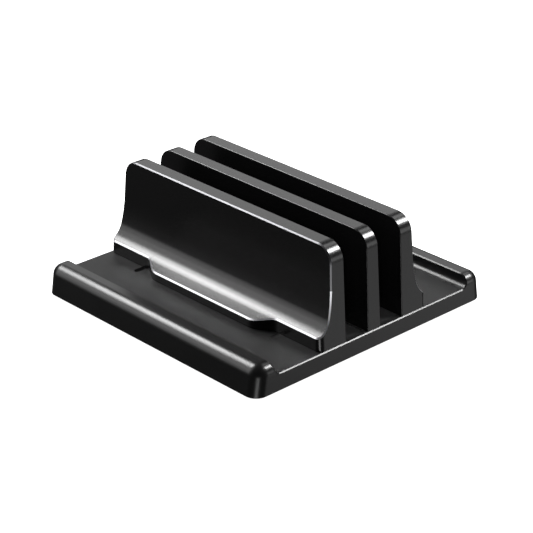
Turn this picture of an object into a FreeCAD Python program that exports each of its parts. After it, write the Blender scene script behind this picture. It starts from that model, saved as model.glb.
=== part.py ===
import FreeCAD, Part
import os
import Sketcher
from FreeCAD import Vector

# Two-slot vertical laptop stand: a ribbed tray, three upright fins and their clamp screws.
#
# Frame: X across the slots (the way the fins slide), Y along the fins, +Z up, millimetres.
# The origin is on the ground plane, under the middle of the tray.

# Driving dimensions, in millimetres. Heights named "..._z" are above the ground plane.
DIMENSIONS = {
    # Tray
    "tray_width": 190.0,
    "tray_depth": 188.4,
    "tray_bottom_z": 1.0,
    "floor_z": 12.0,
    "floor_plate": 3.4,
    "lip_top_z": 19.4,
    "lip_inner_top": 80.6,
    "lip_inner_bottom": 79.3,
    "lip_draft": 2.9,
    "lip_round": 7.0,
    "lip_root_round": 4.8,
    "lip_roof_thick": 4.0,
    "tray_corner": 7.8,
    "tray_wall": 2.8,
    "cavity_corner": 5.0,
    "rib_thick": 2.0,
    "rib_pitch": 18.0,
    "rib_bottom_z": 5.2,
    "long_rib_outer": 58.0,
    "long_rib_inner": 13.0,
    "edge_chamfer": 0.6,
    # Screw line and adjusting slots
    "screw_line": 60.8,
    "screw_offset": 9.7,
    "travel_out": 16.8,
    "travel_in": 6.0,
    "slot_half_width": 1.95,
    "slot_end_room": 0.2,
    # Fins
    "fin_bottom_gap": 0.15,
    "fin_top_z": 73.0,
    "fin_half_length": 93.5,
    "fin_end_lean": 3.9,
    "fin_corner": 11.0,
    "slot_gap": 18.1,
    "mid_half_bottom": 5.15,
    "mid_half_top": 4.45,
    "fin_top_thick": 9.9,
    "face_bend_x": 11.1,
    "face_bend_z": 39.3,
    "face_foot_x": 15.1,
    "face_foot_z": 22.5,
    "foot_depth": 28.45,
    "foot_edge_z": 17.8,
    "foot_setback": 20.95,
    "foot_wide_half": 44.5,
    "foot_narrow_half": 55.8,
    "face_round": 84.0,
    "flare_round": 14.2,
    "foot_inner_round": 8.0,
    "foot_outer_round": 12.0,
    "foot_end_round": 3.9,
    "fin_chamfer": 0.7,
    "edge_break": 0.5,
    "fin_wall": 2.4,
    "cell_top_room": 3.2,
    # Liners in the fins and mats in the tray floor
    "liner_recess": 1.0,
    "liner_thick": 1.5,
    "liner_fit": 0.1,
    "liner_half_length": 72.0,
    "liner_bottom_z": 17.0,
    "liner_top_z": 57.0,
    "liner_corner": 8.0,
    "mat_inner": 5.9,
    "mat_outer": 24.3,
    "mat_half_length": 90.3,
    "mat_recess": 1.7,
    "mat_drop": 0.2,
    "mat_fit": 0.1,
    "mat_corner": 2.0,
    "mat_edge_round": 0.4,
    # Feet
    "foot_pad_x": 80.0,
    "foot_pad_y": 78.0,
    "foot_pad_radius": 7.0,
    "foot_pad_recess": 1.2,
    "foot_boss_radius": 9.0,
    "foot_pad_fit": 0.1,
    "foot_pad_round": 0.5,
    # Clamp hardware, M3
    "screw_radius": 1.48,
    "screw_length": 10.0,
    "screw_head_radius": 2.8,
    "screw_head_height": 2.0,
    "screw_head_round": 0.7,
    "socket_across_corners": 2.3,
    "socket_depth": 1.2,
    "washer_radius": 3.5,
    "washer_bore": 1.6,
    "washer_thick": 0.5,
    "spring_radius": 2.8,
    "spring_bore": 1.55,
    "spring_thick": 0.8,
    "spring_gap": 0.7,
    "insert_radius": 2.3,
    "insert_bore": 1.5,
    "insert_length": 6.0,
    "insert_groove": 0.25,
    "insert_fit": 0.02,
    "screw_tip_room": 1.0,
}

doc = FreeCAD.newDocument("laptop_stand")
sheet = doc.addObject("Spreadsheet::Sheet", "dims")
for row, (alias, value) in enumerate(DIMENSIONS.items(), start=1):
    sheet.set(f"A{row}", alias)
    sheet.set(f"B{row}", str(value))
    sheet.setAlias(f"B{row}", alias)
doc.recompute()

BODIES = []
THROUGH = "300"          # longer than anything it cuts
SCREWS = {"left": "-dims.screw_line", "right": "dims.screw_line"}
FIN_BOTTOM = "(dims.floor_z + dims.fin_bottom_gap)"
PLATE_BOTTOM = "(dims.floor_z - dims.floor_plate)"
OUTER_SLOT_FACE = "(dims.mid_half_bottom + dims.slot_gap)"
OUTER_SCREW = f"({OUTER_SLOT_FACE} + dims.screw_offset)"


# ---------------------------------------------------------------- modelling helpers

def new_body(name):
    """A PartDesign body whose label is the node's name."""
    body = doc.addObject("PartDesign::Body", name)
    body.Label = name
    BODIES.append(body)
    return body


def place(body, x="0", y="0", z="0"):
    """Stand a body at a point given by expressions."""
    for axis, value in zip("xyz", (x, y, z)):
        body.setExpression(f"Placement.Base.{axis}", value)


def new_sketch(body, name, role, offset="0"):
    """A sketch on one of the body's own origin planes, moved along its normal by offset."""
    sketch = body.newObject("Sketcher::SketchObject", name)
    plane = next(item for item in body.Origin.OriginFeatures if item.Role == role)
    sketch.AttachmentSupport = [(plane, "")]
    sketch.MapMode = "FlatFace"
    sketch.setExpression("AttachmentOffset.Base.z", offset)
    return sketch


def pin_point(sketch, geometry, point, across, along):
    """Hold a sketch point at distances from the sketch's origin given by expressions."""
    for kind, value in (("DistanceX", across), ("DistanceY", along)):
        index = sketch.addConstraint(Sketcher.Constraint(kind, -1, 1, geometry, point, 1.0))
        sketch.setExpression(f"Constraints[{index}]", value)


def add_polygon(sketch, points):
    """A closed outline of straight edges through points given as pairs of expressions."""
    first = sketch.GeometryCount
    count = len(points)
    rough = [Vector(10 * index, 10 * (index % 2), 0) for index in range(count)]
    for index in range(count):
        sketch.addGeometry(Part.LineSegment(rough[index], rough[(index + 1) % count]), False)
    for index in range(count):
        joint = Sketcher.Constraint("Coincident", first + index, 2, first + (index + 1) % count, 1)
        sketch.addConstraint(joint)
    for index, (across, along) in enumerate(points):
        pin_point(sketch, first + index, 1, across, along)


def add_rectangle(sketch, low_x, low_y, high_x, high_y):
    add_polygon(sketch, [(low_x, low_y), (high_x, low_y), (high_x, high_y), (low_x, high_y)])


def add_circle(sketch, across, along, radius):
    index = sketch.addGeometry(Part.Circle(Vector(0, 0, 0), Vector(0, 0, 1), 1), False)
    pin_point(sketch, index, 3, across, along)
    size = sketch.addConstraint(Sketcher.Constraint("Radius", index, 1.0))
    sketch.setExpression(f"Constraints[{size}]", radius)


def slab(body, sketch, length, cut=False):
    """Pad or pocket a sketch by the same amount to both sides of its plane."""
    kind = "PartDesign::Pocket" if cut else "PartDesign::Pad"
    before = body.Shape.Volume if body.Tip and not body.Shape.isNull() else 0.0
    feature = body.newObject(kind, sketch.Name + ("_cut" if cut else "_pad"))
    feature.Profile = sketch
    feature.SideType = "Symmetric"
    feature.setExpression("Length", length)
    sketch.Visibility = False
    doc.recompute()
    change = feature.Shape.Volume - before
    if (change >= 0) if cut else (change <= 0):
        raise RuntimeError(f"{body.Label}: {feature.Name} changes the volume by {change:.2f}")
    return feature


def dress(body, kind, size_name, size, chosen, name):
    """Fillet or chamfer the edges of the body's shape that chosen(edge) accepts."""
    base = body.Tip
    edges = [f"Edge{number}" for number, edge in enumerate(base.Shape.Edges, 1) if chosen(edge)]
    if not edges:
        raise RuntimeError(f"{body.Label}: no edges for {name}")
    feature = body.newObject(kind, name)
    feature.Base = (base, edges)
    feature.setExpression(size_name, size)
    doc.recompute()
    if "Invalid" in feature.State or feature.Shape.isNull():
        raise RuntimeError(f"{body.Label}: {name} failed on {len(edges)} edges")
    return feature


def fillet(body, size, chosen, name):
    return dress(body, "PartDesign::Fillet", "Radius", size, chosen, name)


def chamfer(body, size, chosen, name):
    return dress(body, "PartDesign::Chamfer", "Size", size, chosen, name)


def dim(alias):
    """A driving dimension's value, for choosing edges by their place."""
    return float(sheet.get(alias))


def near(value, target, room=0.05):
    return abs(value - target) < room


def border_of(faces):
    """Accepts the edges that bound a set of neighbouring faces, not those between them."""
    def chosen(edge):
        return sum(any(edge.isSame(other) for other in face.Edges) for face in faces) == 1

    return chosen


def spans(edge, axis):
    """True when the edge runs along one axis only."""
    box = edge.BoundBox
    lengths = {"x": box.XLength, "y": box.YLength, "z": box.ZLength}
    return lengths[axis] > 0.1 and all(lengths[other] < 0.01 for other in lengths if other != axis)


# ---------------------------------------------------------------- tray

def make_tray():
    """Moulded tray: flat floor, a raised rounded lip along each side, ribs underneath."""
    body = new_body("base_tray")
    half = "dims.tray_width / 2"
    profile = new_sketch(body, "tray_profile", "XZ_Plane")
    right = [
        (half, "dims.tray_bottom_z"),
        (f"{half} - dims.lip_draft", "dims.lip_top_z"),
        ("dims.lip_inner_top", "dims.lip_top_z"),
        ("dims.lip_inner_bottom", "dims.floor_z"),
    ]
    left = [(f"-({across})", along) for across, along in reversed(right)]
    add_polygon(profile, right + left)
    slab(body, profile, "dims.tray_depth")

    half_width, half_depth = dim("tray_width") / 2, dim("tray_depth") / 2
    lip_top, floor = dim("lip_top_z"), dim("floor_z")

    def at_plan_corner(edge):
        box = edge.BoundBox
        upright = box.ZLength > 5 and box.YLength < 0.01
        return upright and box.XMax * box.XMin > 0 and max(abs(box.XMax), abs(box.XMin)) > half_width - 0.1

    fillet(body, "dims.tray_corner", at_plan_corner, "plan_corners")

    def at_lip_root(edge):
        return spans(edge, "y") and near(edge.CenterOfMass.z, floor)

    fillet(body, "dims.lip_root_round", at_lip_root, "lip_roots")

    def around_lip_top(edge):
        box = edge.BoundBox
        inner = spans(edge, "y") and near(abs(edge.CenterOfMass.x), dim("lip_inner_top"))
        return near(box.ZMin, lip_top) and near(box.ZMax, lip_top) and not inner

    fillet(body, "dims.lip_round", around_lip_top, "lip_crests")

    def on_front_and_back_rim(edge):
        box = edge.BoundBox
        on_end = near(box.YMin, box.YMax) and near(abs(box.YMin), half_depth)
        return on_end and box.ZMin > floor - 0.1 and abs(edge.CenterOfMass.x) < dim("lip_inner_top")

    # The chamfer runs on along the inner edge of each lip's crest.
    chamfer(body, "dims.edge_chamfer", on_front_and_back_rim, "end_rims")
    hollow_tray(body)
    cut_tray_openings(body)
    return body


def hollow_tray(body):
    """Open the underside, then stand the ribs and foot bosses in it."""
    half = "dims.tray_width / 2"
    cavity = new_sketch(body, "cavity_profile", "XZ_Plane")
    below = "dims.tray_bottom_z - 1"
    lip_roof = "dims.lip_top_z - dims.lip_roof_thick"
    right = [
        (f"{half} - dims.tray_wall", below),
        (f"{half} - dims.tray_wall - dims.lip_draft", lip_roof),
        ("dims.lip_inner_top + dims.tray_wall", lip_roof),
        ("dims.lip_inner_bottom + dims.tray_wall", PLATE_BOTTOM),
    ]
    left = [(f"-({across})", along) for across, along in reversed(right)]
    add_polygon(cavity, right + left)
    slab(body, cavity, "dims.tray_depth - 2 * dims.tray_wall", cut=True)

    inner_half_depth = dim("tray_depth") / 2 - dim("tray_wall")

    def at_cavity_corner(edge):
        box = edge.BoundBox
        return box.ZLength > 5 and near(box.YMin, box.YMax) and near(abs(box.YMin), inner_half_depth) \
            and abs(edge.CenterOfMass.x) > dim("lip_inner_top") + 4

    fillet(body, "dims.cavity_corner", at_cavity_corner, "cavity_corners")

    # Low ribs run across under the floor at an even pitch; two pairs run along it.
    rib_middle = f"(dims.rib_bottom_z + {PLATE_BOTTOM}) / 2 + 0.1"
    rib_height = f"{PLATE_BOTTOM} - dims.rib_bottom_z + 0.2"
    inner_half = "(dims.lip_inner_bottom + dims.tray_wall)"
    ribs = new_sketch(body, "cross_ribs", "XY_Plane", rib_middle)
    for step in range(-4, 5):
        middle = f"{step} * dims.rib_pitch"
        add_rectangle(ribs, f"-{inner_half}", f"{middle} - dims.rib_thick / 2",
                      inner_half, f"{middle} + dims.rib_thick / 2")
    slab(body, ribs, rib_height)
    rails = new_sketch(body, "long_ribs", "XY_Plane", rib_middle)
    for distance in ("dims.long_rib_outer", "dims.long_rib_inner"):
        for side in ("-", ""):
            add_rectangle(rails, f"{side}{distance} - dims.rib_thick / 2", "1 - dims.tray_depth / 2",
                          f"{side}{distance} + dims.rib_thick / 2", "dims.tray_depth / 2 - 1")
    slab(body, rails, rib_height)

    boss_middle = f"(dims.tray_bottom_z + {PLATE_BOTTOM}) / 2"
    bosses = new_sketch(body, "foot_bosses", "XY_Plane", boss_middle)
    for side in ("-", ""):
        for end in ("-", ""):
            add_circle(bosses, f"{side}dims.foot_pad_x", f"{end}dims.foot_pad_y", "dims.foot_boss_radius")
    slab(body, bosses, f"{PLATE_BOTTOM} - dims.tray_bottom_z")


def cut_tray_openings(body):
    """Foot recesses, mat pockets, adjusting slots and the middle fin's two screw holes."""
    recesses = new_sketch(body, "foot_recesses", "XY_Plane", "dims.tray_bottom_z")
    for side in ("-", ""):
        for end in ("-", ""):
            add_circle(recesses, f"{side}dims.foot_pad_x", f"{end}dims.foot_pad_y", "dims.foot_pad_radius")
    slab(body, recesses, "2 * dims.foot_pad_recess", cut=True)

    pockets = new_sketch(body, "mat_pockets", "XY_Plane", "dims.floor_z")
    for inner, outer in (("-dims.mat_outer", "-dims.mat_inner"), ("dims.mat_inner", "dims.mat_outer")):
        add_rectangle(pockets, inner, "-dims.mat_half_length", outer, "dims.mat_half_length")
    slab(body, pockets, "2 * dims.mat_recess", cut=True)
    pocket_floor = dim("floor_z") - dim("mat_recess")

    def at_pocket_corner(edge):
        return spans(edge, "z") and near(edge.BoundBox.ZMin, pocket_floor) \
            and near(abs(edge.CenterOfMass.y), dim("mat_half_length"))

    fillet(body, "dims.mat_corner", at_pocket_corner, "pocket_corners")

    slots = new_sketch(body, "adjusting_slots", "XY_Plane", "dims.floor_z")
    for side in ("-", ""):
        for line in SCREWS.values():
            near_end = f"{side}({OUTER_SCREW} - dims.travel_in - dims.slot_end_room - dims.slot_half_width)"
            far_end = f"{side}({OUTER_SCREW} + dims.travel_out + dims.slot_end_room + dims.slot_half_width)"
            add_rectangle(slots, near_end, f"{line} - dims.slot_half_width",
                          far_end, f"{line} + dims.slot_half_width")
    slab(body, slots, "4 * dims.floor_plate", cut=True)
    slot_half = dim("slot_half_width")

    def at_slot_end(edge):
        return spans(edge, "z") and near(abs(abs(edge.CenterOfMass.y) - dim("screw_line")), slot_half) \
            and abs(edge.CenterOfMass.x) > dim("mat_outer")

    fillet(body, "dims.slot_half_width - 0.01", at_slot_end, "slot_ends")

    holes = new_sketch(body, "middle_screw_holes", "XY_Plane", "dims.floor_z")
    for line in SCREWS.values():
        add_circle(holes, "0", line, "dims.slot_half_width")
    slab(body, holes, "4 * dims.floor_plate", cut=True)


# ---------------------------------------------------------------- fins

def soften_slot_side(body):
    """Break the sharp outline of each slot face, leaving its bottom edge on the tray."""
    faces = [face for face in body.Tip.Shape.Faces
             if face.BoundBox.XLength < 1 and face.BoundBox.YLength > 150 and face.BoundBox.ZLength > 55]
    outline = border_of(faces)
    fillet(body, "dims.edge_break", lambda edge: outline(edge) and edge.CenterOfMass.z > dim("floor_z") + 1,
           "slot_side_break")


def add_fin_side(body, name, offset, thickness):
    """The fin seen from the side: ends that lean inwards and two rounded top corners."""
    side = new_sketch(body, name, "YZ_Plane", offset)
    bottom, top = "dims.fin_half_length", "(dims.fin_half_length - dims.fin_end_lean)"
    add_polygon(side, [(f"-{bottom}", FIN_BOTTOM), (bottom, FIN_BOTTOM),
                       (top, "dims.fin_top_z"), (f"-{top}", "dims.fin_top_z")])
    slab(body, side, thickness)

    def at_top_corner(edge):
        box = edge.BoundBox
        return spans(edge, "x") and near(box.ZMin, dim("fin_top_z")) and abs(edge.CenterOfMass.y) > 50

    fillet(body, "dims.fin_corner", at_top_corner, "top_corners")


def core_out(body, outline):
    """Hollow a fin from below in cells, leaving cross ribs and a solid block at each screw."""
    cells = [(2, 27), (29, 55), (66.5, 84)]
    for number, (start, end) in enumerate(cells, 1):
        for mark, sign in (("near", -1), ("far", 1)):
            # A sketch on the XZ plane has its normal along -Y.
            cell = new_sketch(body, f"cell_{mark}_{number}", "XZ_Plane", f"{-sign * (start + end) / 2}")
            add_polygon(cell, outline)
            slab(body, cell, f"{end - start}", cut=True)


def bore_for_inserts(body, x):
    bores = new_sketch(body, "insert_bores", "XY_Plane", FIN_BOTTOM)
    for line in SCREWS.values():
        add_circle(bores, x, line, "dims.insert_radius + dims.insert_fit")
    slab(body, bores, "2 * (dims.insert_length + dims.screw_tip_room)", cut=True)


def liner_profile(face, lean, deep, shallow, fit="0"):
    """Corner points of a liner's cross section, measured into and out of a leaning slot face.

    face is the slot face's place at the floor, lean how far it moves by the fin's top; deep and
    shallow are the distances of the section's two sides from the face.
    """
    points = []
    for level, side in (("dims.liner_bottom_z", ""), ("dims.liner_top_z", "-")):
        height = f"({level} + {side}{fit})"
        drift = f"{lean} * ({height} - {FIN_BOTTOM}) / (dims.fin_top_z - {FIN_BOTTOM})"
        pair = [(f"{face} + {drift} + {deep}", height), (f"{face} + {drift} + {shallow}", height)]
        points += pair if side == "" else pair[::-1]
    return points


def recess_for_liner(body, name, face, lean, inward):
    """A shallow pocket in a slot face, where the liner is glued; inward is the sign along X."""
    recess = new_sketch(body, name, "XZ_Plane")
    add_polygon(recess, liner_profile(face, lean, f"{inward} * dims.liner_recess", f"{-inward} * 2"))
    slab(body, recess, "2 * dims.liner_half_length", cut=True)

    opening = recess.Shape.BoundBox.Center.x

    def at_recess_corner(edge):
        centre = edge.CenterOfMass
        at_height = near(centre.z, dim("liner_bottom_z")) or near(centre.z, dim("liner_top_z"))
        at_end = near(abs(centre.y), dim("liner_half_length"))
        return spans(edge, "x") and at_height and at_end and near(centre.x, opening, 1.2)

    fillet(body, "dims.liner_corner", at_recess_corner, name + "_corners")


def make_outer_fin(name, sign):
    """An outer fin: flat slot face, flared outer face and a foot that steps back at both ends."""
    body = new_body(name)
    side = "-" if sign < 0 else ""

    def out(distance):
        """A place measured outwards from the slot face."""
        return f"{side}({OUTER_SLOT_FACE} + {distance})"

    add_fin_side(body, "side_outline", out("dims.foot_depth / 2"), "dims.foot_depth")

    # Everything in front of the outer face and above the foot's sloping ledge goes.
    front = new_sketch(body, "outer_face", "XZ_Plane")
    add_polygon(front, [(out("dims.fin_top_thick"), "dims.fin_top_z + 1"),
                        (out("dims.face_bend_x"), "dims.face_bend_z"),
                        (out("dims.face_foot_x"), "dims.face_foot_z"),
                        (out("dims.foot_depth"), "dims.foot_edge_z"),
                        (out("dims.foot_depth + 5"), "dims.foot_edge_z"),
                        (out("dims.foot_depth + 5"), "dims.fin_top_z + 1")])
    slab(body, front, THROUGH, cut=True)

    def along_face_at(height):
        return lambda edge: edge.BoundBox.YLength > 100 and near(edge.CenterOfMass.z, height)

    fillet(body, "dims.face_round", along_face_at(dim("face_bend_z")), "face_bend")
    fillet(body, "dims.flare_round", along_face_at(dim("face_foot_z")), "flare")

    # The foot keeps its full depth in the middle only.
    for mark, end in (("near", "-"), ("far", "")):
        step = new_sketch(body, f"step_back_{mark}", "XY_Plane", "dims.floor_z")
        add_polygon(step, [(out("dims.foot_setback"), f"{end}dims.foot_narrow_half"),
                           (out("dims.foot_setback"), f"{end}(dims.fin_half_length + 5)"),
                           (out("dims.foot_depth + 5"), f"{end}(dims.fin_half_length + 5)"),
                           (out("dims.foot_depth + 5"), f"{end}dims.foot_wide_half"),
                           (out("dims.foot_depth"), f"{end}dims.foot_wide_half")])
        slab(body, step, "60", cut=True)

    setback = dim("mid_half_bottom") + dim("slot_gap") + dim("foot_setback")
    depth = dim("mid_half_bottom") + dim("slot_gap") + dim("foot_depth")

    def upright_at(edge, x, y):
        box = edge.BoundBox
        centre = edge.CenterOfMass
        return box.ZLength > 3 and box.XLength < 0.01 and near(abs(centre.x), x) and near(abs(centre.y), y, 0.5)

    fillet(body, "dims.foot_inner_round", lambda edge: upright_at(edge, setback, dim("foot_narrow_half")),
           "step_inner_corners")
    fillet(body, "dims.foot_outer_round", lambda edge: upright_at(edge, depth, dim("foot_wide_half")),
           "step_outer_corners")
    fillet(body, "dims.foot_end_round", lambda edge: upright_at(edge, setback, dim("fin_half_length")),
           "foot_end_corners")

    chamfer(body, "dims.fin_chamfer", border_of(outer_skin(body, sign)), "outer_rim")
    soften_slot_side(body)
    wall = "dims.fin_wall"
    core_out(body, [(out(f"{wall}"), f"{FIN_BOTTOM} - 1"),
                    (out(f"{wall}"), "dims.fin_top_z - dims.cell_top_room"),
                    (out(f"dims.fin_top_thick - {wall}"), "dims.fin_top_z - dims.cell_top_room"),
                    (out(f"dims.face_bend_x - {wall}"), "dims.face_bend_z"),
                    (out(f"dims.face_foot_x - {wall} - 1.4"), "dims.face_foot_z + 6"),
                    (out("dims.foot_setback - 3"), "dims.foot_edge_z - 1.5"),
                    (out("dims.foot_setback - 3"), f"{FIN_BOTTOM} - 1")])
    bore_for_inserts(body, f"{side}{OUTER_SCREW}")
    recess_for_liner(body, "liner_recess_outline", f"{side}{OUTER_SLOT_FACE}", "0", sign)
    return body


def outer_skin(body, sign):
    """The outer face's surfaces: flat face, flare and ledge together."""
    skin = []
    for face in body.Tip.Shape.Faces:
        normal = face.normalAt(*face.Surface.parameter(face.CenterOfMass))
        outward = normal.x * sign
        facing = outward > 0.9 and face.BoundBox.ZMax > 40
        sloping = outward > 0.2 and normal.z > 0.2
        if face.BoundBox.YLength > 80 and (facing or sloping):
            skin.append(face)
    return skin


def mid_lean(sign):
    """How far a face of the middle fin moves along X from the floor to the fin's top."""
    return f"{-sign} * (dims.mid_half_bottom - dims.mid_half_top)"


def make_middle_fin():
    """The middle fin: two slot faces that draw in slightly towards the top."""
    body = new_body("middle_fin")
    add_fin_side(body, "side_outline", "0", "2 * dims.mid_half_bottom")
    for mark, side in (("front", "-"), ("rear", "")):
        taper = new_sketch(body, f"{mark}_taper", "XZ_Plane")
        add_polygon(taper, [(f"{side}dims.mid_half_bottom", FIN_BOTTOM),
                            (f"{side}dims.mid_half_top", "dims.fin_top_z"),
                            (f"{side}dims.mid_half_top", "dims.fin_top_z + 1"),
                            (f"{side}(dims.mid_half_bottom + 1)", "dims.fin_top_z + 1"),
                            (f"{side}(dims.mid_half_bottom + 1)", FIN_BOTTOM)])
        slab(body, taper, THROUGH, cut=True)
    soften_slot_side(body)
    core = "(dims.mid_half_top - dims.fin_wall)"
    core_out(body, [(f"-{core}", f"{FIN_BOTTOM} - 1"), (core, f"{FIN_BOTTOM} - 1"),
                    (core, "dims.fin_top_z - dims.cell_top_room"),
                    (f"-{core}", "dims.fin_top_z - dims.cell_top_room")])
    bore_for_inserts(body, "0")
    for mark, sign in (("front", -1), ("rear", 1)):
        recess_for_liner(body, f"{mark}_liner_recess", f"{sign} * dims.mid_half_bottom", mid_lean(sign), -sign)
    return body


def make_liner(name, face, lean, inward):
    """Silicone liner glued in a slot face's recess, standing a little proud of it."""
    body = new_body(name)
    outline = new_sketch(body, "outline", "XZ_Plane")
    proud = f"{-inward} * (dims.liner_thick - dims.liner_recess)"
    add_polygon(outline, liner_profile(face, lean, f"{inward} * dims.liner_recess", proud, "dims.liner_fit"))
    slab(body, outline, "2 * (dims.liner_half_length - dims.liner_fit)")
    fillet(body, "dims.liner_corner - dims.liner_fit", lambda edge: spans(edge, "x"), "corners")
    showing = [face for face in body.Tip.Shape.Faces
               if face.BoundBox.YLength > 100 and face.BoundBox.ZLength > 30]
    showing.sort(key=lambda face: -inward * face.CenterOfMass.x)
    fillet(body, "dims.mat_edge_round", border_of(showing[-1:]), "soft_edge")
    return body


def make_mat(name, side):
    """Silicone mat in the tray floor, under one laptop slot."""
    body = new_body(name)
    outline = new_sketch(body, "outline", "XY_Plane")
    width = "(dims.mat_outer - dims.mat_inner - 2 * dims.mat_fit)"
    half = "(dims.mat_half_length - dims.mat_fit)"
    add_rectangle(outline, f"-{width} / 2", f"-{half}", f"{width} / 2", half)
    slab(body, outline, "dims.mat_recess - dims.mat_drop")
    fillet(body, "dims.mat_corner - dims.mat_fit", lambda edge: spans(edge, "z"), "corners")
    top = (dim("mat_recess") - dim("mat_drop")) / 2
    fillet(body, "dims.mat_edge_round", lambda edge: near(edge.BoundBox.ZMin, top, 0.01), "soft_edge")
    place(body, x=f"{side}(dims.mat_inner + dims.mat_outer) / 2",
          z="dims.floor_z - (dims.mat_recess + dims.mat_drop) / 2")
    return body


def make_rubber_foot(name, x, y):
    """Round rubber foot, pressed into a recess under the tray."""
    body = new_body(name)
    disc = new_sketch(body, "disc", "XY_Plane")
    add_circle(disc, "0", "0", "dims.foot_pad_radius - dims.foot_pad_fit")
    slab(body, disc, "dims.tray_bottom_z + dims.foot_pad_recess")
    low = -(dim("tray_bottom_z") + dim("foot_pad_recess")) / 2
    fillet(body, "dims.foot_pad_round", lambda edge: near(edge.BoundBox.ZMax, low, 0.01), "soft_edge")
    place(body, x, y, "(dims.tray_bottom_z + dims.foot_pad_recess) / 2")
    return body


# ---------------------------------------------------------------- clamp hardware

def revolve(body, name, outline):
    """Turn a half profile, drawn on the XZ plane, about the body's Z axis."""
    profile = new_sketch(body, name, "XZ_Plane")
    add_polygon(profile, outline)
    feature = body.newObject("PartDesign::Revolution", name + "_turned")
    feature.Profile = profile
    feature.ReferenceAxis = (profile, ["V_Axis"])
    feature.Angle = 360
    doc.recompute()
    return feature


def make_screw(name, x, y, seat):
    """Hexagon-socket button-head screw, its head's seat at the given height, pointing up."""
    body = new_body(name)
    revolve(body, "half_profile", [("0", "-dims.screw_head_height"),
                                   ("dims.screw_head_radius", "-dims.screw_head_height"),
                                   ("dims.screw_head_radius", "0"), ("dims.screw_radius", "0"),
                                   ("dims.screw_radius", "dims.screw_length"), ("0", "dims.screw_length")])
    low = -dim("screw_head_height")
    fillet(body, "dims.screw_head_round",
           lambda edge: near(edge.BoundBox.ZMax, low, 0.01) and edge.Length > 3, "button_edge")
    chamfer(body, "dims.screw_head_round / 2",
            lambda edge: near(edge.BoundBox.ZMin, dim("screw_length"), 0.01), "point")
    socket = new_sketch(body, "socket", "XY_Plane", "-dims.screw_head_height")
    corners = [(1, 0), (0.5, 0.866025), (-0.5, 0.866025), (-1, 0), (-0.5, -0.866025), (0.5, -0.866025)]
    add_polygon(socket, [(f"{across} * dims.socket_across_corners / 2",
                          f"{along} * dims.socket_across_corners / 2") for across, along in corners])
    slab(body, socket, "2 * dims.socket_depth", cut=True)
    place(body, x, y, seat)
    return body


def make_flat_washer(name, x, y, seat):
    body = new_body(name)
    ring = new_sketch(body, "ring", "XY_Plane", "dims.washer_thick / 2")
    add_circle(ring, "0", "0", "dims.washer_radius")
    add_circle(ring, "0", "0", "dims.washer_bore")
    slab(body, ring, "dims.washer_thick")
    place(body, x, y, seat)
    return body


def make_spring_washer(name, x, y, seat):
    """Split spring washer, shown pressed flat."""
    body = new_body(name)
    ring = new_sketch(body, "ring", "XY_Plane", "dims.spring_thick / 2")
    add_circle(ring, "0", "0", "dims.spring_radius")
    add_circle(ring, "0", "0", "dims.spring_bore")
    slab(body, ring, "dims.spring_thick")
    split = new_sketch(body, "split", "XY_Plane", "dims.spring_thick / 2")
    add_rectangle(split, "0.5", "-dims.spring_gap / 2", "dims.spring_radius + 1", "dims.spring_gap / 2")
    slab(body, split, "2 * dims.spring_thick", cut=True)
    place(body, x, y, seat)
    return body


def make_insert(name, x, y):
    """Brass threaded insert with two grooves, pressed up into the fin from below."""
    body = new_body(name)
    outer, waist = "dims.insert_radius", "(dims.insert_radius - dims.insert_groove)"
    levels = ["0", "dims.insert_length * 0.25", "dims.insert_length * 0.35",
              "dims.insert_length * 0.65", "dims.insert_length * 0.75", "dims.insert_length"]
    radii = [(outer, outer), (waist, waist), (outer, outer), (waist, waist), (outer, outer)]
    outline = [("dims.insert_bore", "0")]
    for (low, high), (first, last) in zip(zip(levels, levels[1:]), radii):
        outline += [(first, low), (last, high)]
    outline.append(("dims.insert_bore", "dims.insert_length"))
    revolve(body, "half_profile", outline)
    place(body, x, y, FIN_BOTTOM)
    return body


def add_clamps(fin, x):
    """One clamp at each screw position of a fin: screw, two washers and an insert."""
    washer_seat = f"({PLATE_BOTTOM} - dims.washer_thick - dims.fin_bottom_gap)"
    spring_seat = f"({washer_seat} - dims.spring_thick)"
    for mark, line in SCREWS.items():
        make_insert(f"{fin}_insert_{mark}", x, line)
        make_flat_washer(f"{fin}_flat_washer_{mark}", x, line, washer_seat)
        make_spring_washer(f"{fin}_spring_washer_{mark}", x, line, spring_seat)
        make_screw(f"{fin}_screw_{mark}", x, line, spring_seat)


# ---------------------------------------------------------------- assembly

make_tray()
make_outer_fin("front_fin", -1)
make_outer_fin("rear_fin", 1)
make_middle_fin()
make_liner("front_fin_liner", f"-{OUTER_SLOT_FACE}", "0", -1)
make_liner("rear_fin_liner", OUTER_SLOT_FACE, "0", 1)
make_liner("middle_fin_front_liner", "-dims.mid_half_bottom", mid_lean(-1), 1)
make_liner("middle_fin_rear_liner", "dims.mid_half_bottom", mid_lean(1), -1)
make_mat("front_slot_mat", "-")
make_mat("rear_slot_mat", "")
for end_name, end_y in (("near", "-dims.foot_pad_y"), ("far", "dims.foot_pad_y")):
    make_rubber_foot(f"rubber_foot_front_{end_name}", "-dims.foot_pad_x", end_y)
    make_rubber_foot(f"rubber_foot_rear_{end_name}", "dims.foot_pad_x", end_y)
add_clamps("front_fin", f"-{OUTER_SCREW}")
add_clamps("middle_fin", "0")
add_clamps("rear_fin", OUTER_SCREW)
doc.recompute()

# ---------------------------------------------------------------- checks and export

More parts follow.
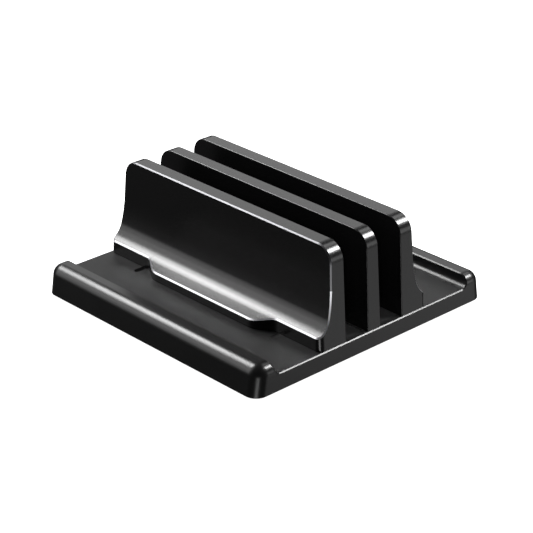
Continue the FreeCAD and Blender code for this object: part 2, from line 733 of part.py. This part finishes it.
for item in doc.Objects:
    if "Invalid" in item.State or "Error" in item.State:
        raise RuntimeError(f"{item.Label} is in state {item.State}")
os.makedirs("parts", exist_ok=True)
for body in BODIES:
    if body.Shape.isNull() or not body.Shape.isValid():
        raise RuntimeError(f"{body.Label} has no valid shape")
    body.Shape.exportStep(f"parts/{body.Label}.step")
    box = body.Shape.optimalBoundingBox(False)
    print(f"{body.Label:32s} {len(body.Shape.Solids)} solid  {body.Shape.Volume:10.1f} mm3  "
          f"z {box.ZMin:6.2f} to {box.ZMax:6.2f}")
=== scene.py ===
from math import cos, pi, radians, sin, tau

import bpy
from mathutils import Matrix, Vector


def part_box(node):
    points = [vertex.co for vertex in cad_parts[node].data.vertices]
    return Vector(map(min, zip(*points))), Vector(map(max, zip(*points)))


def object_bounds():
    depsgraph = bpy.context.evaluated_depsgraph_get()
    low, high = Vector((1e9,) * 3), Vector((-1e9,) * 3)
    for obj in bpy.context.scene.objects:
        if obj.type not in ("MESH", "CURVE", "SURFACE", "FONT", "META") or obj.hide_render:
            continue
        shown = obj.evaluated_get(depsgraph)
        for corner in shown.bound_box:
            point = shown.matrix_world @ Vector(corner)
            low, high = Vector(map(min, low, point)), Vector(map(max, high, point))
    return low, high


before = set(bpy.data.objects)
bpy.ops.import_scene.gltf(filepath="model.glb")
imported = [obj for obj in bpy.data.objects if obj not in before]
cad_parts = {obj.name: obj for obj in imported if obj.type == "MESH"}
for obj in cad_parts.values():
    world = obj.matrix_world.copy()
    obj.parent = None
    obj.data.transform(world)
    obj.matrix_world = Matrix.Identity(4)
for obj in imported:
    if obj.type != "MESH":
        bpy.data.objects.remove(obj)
cad_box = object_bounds()

# ---- Tray -------------------------------------------------------------------------------------
# One injection moulding in black ABS: a flat floor, a raised rounded lip along each side and low
# ribs underneath. The tool is spark-eroded, which leaves a fine even grain with a satin shine.


class Value:
    """A number on its way through a material's nodes; arithmetic on it adds Math nodes."""

    def __init__(self, finish, socket):
        self.finish = finish
        self.socket = socket

    def __add__(self, other):
        return self.finish.math("ADD", self, other)

    def __sub__(self, other):
        return self.finish.math("SUBTRACT", self, other)

    def __rsub__(self, other):
        return self.finish.math("SUBTRACT", other, self)

    def __mul__(self, other):
        return self.finish.math("MULTIPLY", self, other)

    __radd__ = __add__
    __rmul__ = __mul__


class Finish:
    """A material under construction, with its Principled shader and its outputs joined up."""

    def __init__(self, name):
        self.material = bpy.data.materials.new(name)
        self.material.use_nodes = True
        self.tree = self.material.node_tree
        self.tree.nodes.clear()
        self.shader = self.tree.nodes.new("ShaderNodeBsdfPrincipled")
        output = self.tree.nodes.new("ShaderNodeOutputMaterial")
        self.tree.links.new(self.shader.outputs["BSDF"], output.inputs["Surface"])

    def node(self, kind, settings, sockets):
        """Add a node: its settings first, then a value or a link for each named socket."""
        made = self.tree.nodes.new(kind)
        for name, value in settings.items():
            if name == "stops":
                self.set_stops(made.color_ramp, value)
            else:
                setattr(made, name, value)
        self.fill(made, sockets)
        return {output.name: Value(self, output) for output in made.outputs}

    def fill(self, node, sockets):
        for name, value in sockets.items():
            if isinstance(value, Value):
                self.tree.links.new(value.socket, node.inputs[name])
            else:
                node.inputs[name].default_value = value

    def set_stops(self, ramp, stops):
        while len(ramp.elements) < len(stops):
            ramp.elements.new(1.0)
        for element, (place, colour) in zip(ramp.elements, stops):
            element.position = place
            element.color = colour

    def surface(self, **sockets):
        """Set the Principled shader's sockets; underscores in a name stand for spaces."""
        self.fill(self.shader, {name.replace("_", " "): value for name, value in sockets.items()})

    def math(self, operation, *values):
        return self.node("ShaderNodeMath", {"operation": operation}, dict(enumerate(values)))["Value"]

    def axes(self, vector):
        """A vector's three parts, by the names X, Y and Z."""
        return self.node("ShaderNodeSeparateXYZ", {}, {"Vector": vector})

    def facing(self):
        """The parts of the direction that the surface faces."""
        return self.axes(self.node("ShaderNodeNewGeometry", {}, {})["Normal"])

    def place(self, centre=(0, 0, 0)):
        """Object coordinates measured from a centre."""
        raw = self.node("ShaderNodeTexCoord", {}, {})["Object"]
        return self.node("ShaderNodeMapping", {}, {"Vector": raw, "Location": [-c for c in centre]})["Vector"]

    def noise(self, where, scale, detail=3.0, roughness=0.5):
        sockets = {"Vector": where, "Scale": scale, "Detail": detail, "Roughness": roughness}
        return self.node("ShaderNodeTexNoise", {}, sockets)["Fac"]

    def ramp(self, factor, *stops):
        return self.node("ShaderNodeValToRGB", {"stops": stops}, {"Fac": factor})["Color"]

    def bump(self, height, strength, distance):
        sockets = {"Height": height, "Strength": strength, "Distance": distance}
        return self.node("ShaderNodeBump", {}, sockets)["Normal"]

    def between(self, value, low, high):
        """One where a value lies between two limits, nought elsewhere."""
        return self.math("GREATER_THAN", value, low) * self.math("LESS_THAN", value, high)

    def give_to(self, *names):
        """Put the finish on CAD nodes in place of their plain colour."""
        for name in names:
            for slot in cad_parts[name].material_slots:
                slot.material = self.material


def grey(level):
    """A neutral black or grey with a trace of blue, as carbon-filled plastic has."""
    return (level, level, level * 1.04, 1.0)


def eroded_black(name, grain):
    """The start of a black ABS moulding's finish: its spark-eroded grain, which it returns too."""
    finish = Finish(name)
    eroded = finish.noise(finish.place(), 2600.0, 2.0)
    finish.surface(Normal=finish.bump(eroded, grain, 0.00006), IOR=1.5)
    return finish, eroded


def mottled(finish, eroded):
    """Black that varies a little with the plastic's flow in the tool and with its grain."""
    flow = finish.noise(finish.place(), 14.0, 3.0)
    return finish.ramp(flow * 0.6 + eroded * 0.4, (0.35, grey(0.0025)), (0.68, grey(0.0045)))


# The floor between the lips is grained more coarsely, so it hardly mirrors what stands on it.
lip_gloss, floor_gloss = 0.29, 0.50
floor_low, floor_high = 0.008, 0.0125
tray_plastic, eroded = eroded_black("tray_plastic", 0.05)
where = tray_plastic.place()
handled = tray_plastic.noise(where, 55.0, 5.0)
on_floor = tray_plastic.between(tray_plastic.axes(where)["Z"], floor_low, floor_high)
grained = on_floor * tray_plastic.between(tray_plastic.facing()["Z"], 0.98, 1.01)
tray_plastic.surface(
    Base_Color=mottled(tray_plastic, eroded),
    Roughness=lip_gloss + grained * (floor_gloss - lip_gloss) + (handled - 0.5) * 0.06,
)
tray_plastic.give_to("base_tray")

# ---- Rubber feet ------------------------------------------------------------------------------
# Four punched discs of black rubber with a softened lower edge, pressed into round recesses under
# the tray's corners. Rubber is matt, a little grey and slightly mottled.

foot_rubber = Finish("foot_rubber")
where = foot_rubber.place()
mottle = foot_rubber.noise(where, 180.0, 4.0)
pores = foot_rubber.noise(where, 2200.0, 2.0)
foot_rubber.surface(
    Base_Color=foot_rubber.ramp(mottle, (0.3, grey(0.016)), (0.7, grey(0.028))),
    Roughness=0.62 + mottle * 0.2,
    Normal=foot_rubber.bump(pores, 0.3, 0.0001),
    IOR=1.5,
)
foot_rubber.give_to(*[f"rubber_foot_{side}_{end}" for side in ("front", "rear") for end in ("near", "far")])

# ---- Slot mats and fin liners -----------------------------------------------------------------
# Die-cut black silicone: a mat glued in the floor of each slot, and a liner in each slot face of
# the three fins, so that a laptop touches nothing hard. Silicone is matt with a soft bloom.

silicone = Finish("silicone")
where = silicone.place()
bloom = silicone.noise(where, 40.0, 4.0, 0.6)
skin = silicone.noise(where, 1800.0, 2.0)
silicone.surface(
    Base_Color=silicone.ramp(bloom, (0.3, grey(0.006)), (0.72, grey(0.011))),
    Roughness=0.5 + bloom * 0.16,
    Normal=silicone.bump(skin, 0.25, 0.00008),
    IOR=1.42,
    Sheen_Weight=0.05,
    Sheen_Roughness=0.4,
)
silicone.give_to("front_slot_mat", "rear_slot_mat", "front_fin_liner", "middle_fin_front_liner",
                 "middle_fin_rear_liner", "rear_fin_liner")

# ---- Fins -------------------------------------------------------------------------------------
# Three hollow ABS mouldings, open below. The outer two flare into a foot, with a chamfer all round
# the outer face that is coloured light metallic grey as a painted highlight; the middle one is plain.
# The tool is polished finer than the tray's.

fin_gloss = 0.25
fin_grain = 0.04
plain, eroded = eroded_black("fin_plastic", fin_grain)
handled = plain.noise(plain.place(), 55.0, 5.0, 0.62)
plain.surface(
    Base_Color=mottled(plain, eroded),
    Roughness=fin_gloss + (handled - 0.5) * 0.06 + (eroded - 0.5) * 0.05,
)
plain.give_to("middle_fin")

# The chamfer runs along the foot, up the ends and over the top; these heights part its stretches.
foot_low, foot_high, face_high, above_fin = 0.0160, 0.0212, 0.0470, 0.0800
for name, outward in (("front_fin", -1.0), ("rear_fin", 1.0)):
    flared, _ = eroded_black(name + "_plastic", fin_grain)
    height = flared.axes(flared.place())["Z"]
    facing = flared.facing()
    out = facing["X"] * outward
    sideways = flared.math("ABSOLUTE", facing["Y"])
    foot = flared.between(height, foot_low, foot_high) * flared.between(facing["Z"], 0.20, 0.80) \
        * flared.between(out, 0.05, 1.00)
    ends = flared.between(height, foot_high, face_high) * flared.between(sideways, 0.35, 0.93) \
        * flared.between(out, 0.20, 0.93)
    top = flared.between(height, face_high, above_fin) * flared.between(out, 0.45, 0.93)
    # Painted highlight: the chamfer faces along the foot, up the ends and over the top are coloured light
    # grey and made metallic, the top at half strength, to stand for the bright lines that light draws on
    # them.
    painted_highlight = foot + ends + top * 0.5
    chamfer = foot + ends + top
    flared.surface(
        Base_Color=flared.ramp(painted_highlight, (0.0, grey(0.0035)), (0.5, grey(0.13)), (1.0, grey(0.75))),
        Metallic=chamfer,
        Roughness=fin_gloss + chamfer * 0.10,
    )
    flared.give_to(name)

# ---- Threaded inserts -------------------------------------------------------------------------
# Six turned brass sleeves with two grooves, knurled outside and pressed up into the fins from
# below, where the clamp screws meet them.

knurl_ridges = 28.0
knurl_twist = 4000.0
for fin in ("front_fin", "middle_fin", "rear_fin"):
    for mark in ("left", "right"):
        name = f"{fin}_insert_{mark}"
        low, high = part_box(name)
        brass = Finish(name + "_brass")
        where = brass.place((low + high) / 2)
        axes = brass.axes(where)
        around = brass.math("ARCTAN2", axes["Y"], axes["X"])
        knurl = brass.math("SINE", around * knurl_ridges + axes["Z"] * knurl_twist)
        tarnish = brass.noise(where, 500.0, 4.0)
        brass.surface(
            Base_Color=brass.ramp(tarnish, (0.3, (0.52, 0.34, 0.12, 1)), (0.7, (0.72, 0.52, 0.22, 1))),
            Metallic=1.0,
            Roughness=0.26 + tarnish * 0.2,
            Normal=brass.bump(knurl, 0.6, 0.00012),
        )
        brass.give_to(name)

# ---- Washers ----------------------------------------------------------------------------------
# Under each screw head lies a split spring washer and then a flat washer, both zinc-plated steel.
# The flat washer is stamped; the spring washer is coiled from wire, so its marks run round it.

for fin in ("front_fin", "middle_fin", "rear_fin"):
    for mark in ("left", "right"):
        for kind, rings in (("flat_washer", 2600.0), ("spring_washer", 5200.0)):
            name = f"{fin}_{kind}_{mark}"
            low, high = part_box(name)
            zinc = Finish(name + "_zinc")
            where = zinc.place((low + high) / 2)
            turned = zinc.node("ShaderNodeTexWave", {"wave_type": "RINGS", "rings_direction": "Z"},
                               {"Vector": where, "Scale": rings, "Distortion": 1.5, "Detail": 3.0})["Fac"]
            spangle = zinc.noise(where, 900.0, 4.0)
            zinc.surface(
                Base_Color=zinc.ramp(spangle, (0.3, (0.42, 0.43, 0.45, 1)), (0.7, (0.58, 0.58, 0.58, 1))),
                Metallic=1.0,
                Roughness=0.3 + spangle * 0.15,
                Normal=zinc.bump(turned, 0.25, 0.00003),
            )
            zinc.give_to(name)

# ---- Clamp screws -----------------------------------------------------------------------------
# Six M3 button-head socket screws in zinc-plated steel, put in from below. The heads are cold
# formed and tumbled, so they are bright with fine random scratches.

thread_pitch = 0.0005
thread_start = -0.0035
for fin in ("front_fin", "middle_fin", "rear_fin"):
    for mark in ("left", "right"):
        name = f"{fin}_screw_{mark}"
        low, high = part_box(name)
        steel = Finish(name + "_steel")
        where = steel.place((low + high) / 2)
        axes = steel.axes(where)
        around = steel.math("ARCTAN2", axes["Y"], axes["X"])
        thread = steel.math("SINE", axes["Z"] * (tau / thread_pitch) + around)
        on_shank = steel.math("GREATER_THAN", axes["Z"], thread_start)
        scratches = steel.noise(where, 1500.0, 6.0, 0.7)
        steel.surface(
            Base_Color=steel.ramp(scratches, (0.3, (0.33, 0.34, 0.36, 1)), (0.72, (0.5, 0.5, 0.5, 1))),
            Metallic=1.0,
            Roughness=0.22 + scratches * 0.22,
            Normal=steel.bump(thread * on_shank + scratches * 0.15, 0.7, 0.0002),
        )
        steel.give_to(name)

# ---- Floor ------------------------------------------------------------------------------------
# A plain white sweep that glows like a light table, except under the stand, where its glow is cut
# out as a painted shadow. It throws no light back on the stand, and from below it is clear, so the
# underside can be seen.

bpy.ops.object.select_all(action="DESELECT")
sweep_middle = Vector((2.0, 2.0, 0.0))
bpy.ops.mesh.primitive_plane_add(size=12.0, location=sweep_middle)
sweep = bpy.context.object
sweep.name = "sweep"
paper = Finish("sweep_paper")
fibre = paper.noise(paper.place(), 30.0, 3.0)
axes = paper.axes(paper.place(-sweep_middle))
# Painted shadow: the sweep's glow is switched off in a square under the stand, so it is dark there as if
# shaded.
painted_shadow_reach = cad_box[1][0] - 0.010
under_x = paper.between(axes["X"], -painted_shadow_reach, painted_shadow_reach)
under_y = paper.between(axes["Y"], -painted_shadow_reach, painted_shadow_reach)
outside_painted_shadow = 2.0 - under_x - under_y
below = paper.node("ShaderNodeNewGeometry", {}, {})["Backfacing"]
paper.surface(
    Base_Color=paper.ramp(fibre, (0.0, (0.80, 0.80, 0.80, 1)), (1.0, (0.84, 0.84, 0.84, 1))),
    Roughness=1.0,
    Specular_IOR_Level=0.0,
    Emission_Color=paper.ramp(outside_painted_shadow, (0.0, (0.0, 0.0, 0.0, 1)), (0.5, (1.0, 1.0, 1.0, 1))),
    Emission_Strength=1.0,
    Alpha=1.0 - below,
)
sweep.data.materials.append(paper.material)
sweep.visible_glossy = False
sweep.visible_diffuse = False
sweep.visible_shadow = False

# ---- Light ------------------------------------------------------------------------------------
# Soft boxes round the stand: a broad one behind for the tops, strong keys high at the far left for
# the curved faces, weak ones at that side and the ends, and small hard ones for the edges.

world = bpy.data.worlds.new("studio")
world.use_nodes = True
haze = world.node_tree.nodes["Background"].inputs
haze["Color"].default_value = (1.0, 1.0, 1.0, 1.0)
haze["Strength"].default_value = 0.06
bpy.context.scene.world = world

stand_middle = Vector((0.0, 0.0, 0.03))


def soft_box(name, towards, distance, width, height, glow):
    """An area light in a direction from the stand, facing it, with the same glow at any size."""
    lamp = bpy.data.lights.new(name, "AREA")
    lamp.shape = "RECTANGLE"
    lamp.size = width
    lamp.size_y = height
    lamp.energy = glow * width * height * pi
    holder = bpy.data.objects.new(name, lamp)
    bpy.context.scene.collection.objects.link(holder)
    direction = Vector(towards).normalized()
    holder.location = stand_middle + direction * distance
    holder.rotation_mode = "QUATERNION"
    holder.rotation_quaternion = direction.to_track_quat("Z", "Y")
    holder.visible_camera = False


soft_box("back_box", (0.62, 0.65, 0.40), 1.6, 1.5, 0.55, 1.35)
soft_box("key_box_high", (-0.10, 0.65, 0.74), 1.5, 0.50, 0.30, 21.0)
soft_box("key_box_left", (-0.28, 0.65, 0.62), 1.5, 0.5, 0.4, 15.0)
soft_box("key_box_right", (0.12, 0.65, 0.75), 1.5, 0.5, 0.3, 1.2)
soft_box("slope_box_high", (-0.62, 0.66, 0.50), 1.6, 0.9, 0.7, 2.2)
soft_box("slope_box_low", (-0.72, 0.65, 0.15), 1.6, 0.8, 0.6, 1.6)
soft_box("edge_box_near", (0.62, -0.43, 0.65), 1.4, 0.35, 0.30, 55.0)
soft_box("edge_box_far", (0.65, 0.05, 0.75), 1.4, 0.4, 0.4, 3.0)
soft_box("end_box_low", (0.62, -0.68, -0.36), 1.4, 0.9, 0.5, 0.66)
soft_box("end_box_high", (0.62, -0.72, 0.05), 1.4, 0.7, 0.4, 1.8)
soft_box("corner_box", (-0.655, -0.625, -0.42), 1.4, 0.45, 0.45, 5.0)

# ---- Camera -----------------------------------------------------------------------------------
# A long lens held a little over a metre away, looking down on the near left corner.

aim = Vector((-0.0209, -0.0244, 0.0350))
azimuth, elevation = radians(-43.273), radians(25.687)
standoff = 1.1630
back = Vector((sin(azimuth) * cos(elevation), -cos(azimuth) * cos(elevation), sin(elevation)))
lens = bpy.data.cameras.new("camera")
lens.lens = 132.85
lens.sensor_width = 36.0
lens.clip_end = 50.0
camera = bpy.data.objects.new("camera", lens)
bpy.context.scene.collection.objects.link(camera)
camera.location = aim + back * standoff
camera.rotation_mode = "QUATERNION"
camera.rotation_quaternion = back.to_track_quat("Z", "Y")
bpy.context.scene.camera = camera
bpy.context.scene.view_settings.view_transform = "Standard"
